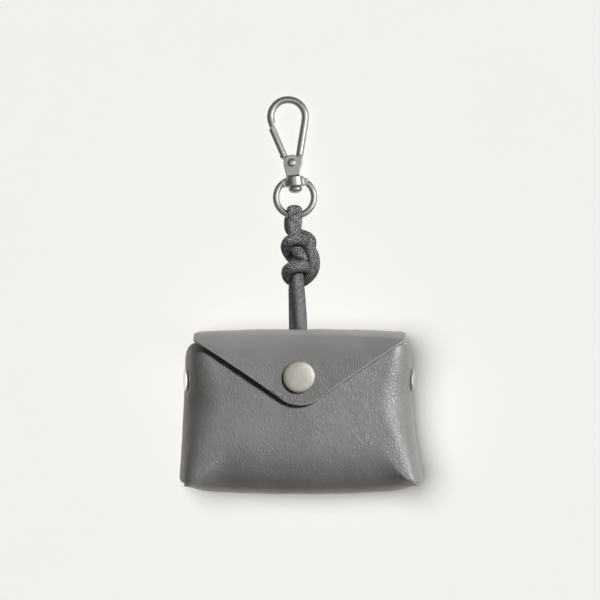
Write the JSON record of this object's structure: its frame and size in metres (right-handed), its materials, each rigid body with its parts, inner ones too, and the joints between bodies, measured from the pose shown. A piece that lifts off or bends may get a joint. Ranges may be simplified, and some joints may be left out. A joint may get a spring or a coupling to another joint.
{
  "type": "leather pochette with cord and snap hook",
  "caption": "Small folded leather envelope pouch with a pointed flap closed by a press stud, on a knotted cord loop with a swivel snap hook.",
  "frame": {"origin": "on the surface it lies on, under the middle of the pouch's back", "axes": "+Z out of the front, up from the surface; +Y from the bottom of the pouch to its spine, cord and hook; +X to the right, seen from the front"},
  "size_m": [0.0963, 0.1581, 0.0389],
  "materials": {
    "leather": "grey grained leather, semi-matt, with a paler raw edge",
    "stud_metal": "satin nickel plate",
    "cord": "grey braided synthetic cord",
    "hook_metal": "bright nickel plate"
  },
  "bodies": {
    "pouch": {"leather_body": "leather", "flap_snap": "stud_metal", "side_snap_left": "stud_metal", "side_snap_right": "stud_metal", "cord_loop": "cord", "cord_knot": "cord", "cord_tail_front": "cord", "cord_tail_back": "cord", "cord_stop": "cord", "swivel_ring": "hook_metal"},
    "hook": {"hook_body": "hook_metal", "gate_rivet": "hook_metal"},
    "gate": {"hook_gate": "hook_metal"}
  },
  "joints": [
    {"name": "hook_swivel", "type": "hinge", "parent": "pouch", "child": "hook", "pos_m": [-0.0021, 0.0907, 0.00375], "axis": [-0.0904, 0.9938, -0.0645], "continuous": true},
    {"name": "gate_hinge", "type": "hinge", "parent": "hook", "child": "gate", "pos_m": [-0.00327, 0.09806, 0.00327], "axis": [0.0058, -0.0643, -0.9979], "range_deg": [0, 25], "stiffness_Nm_per_rad": 0.04}
  ]
}
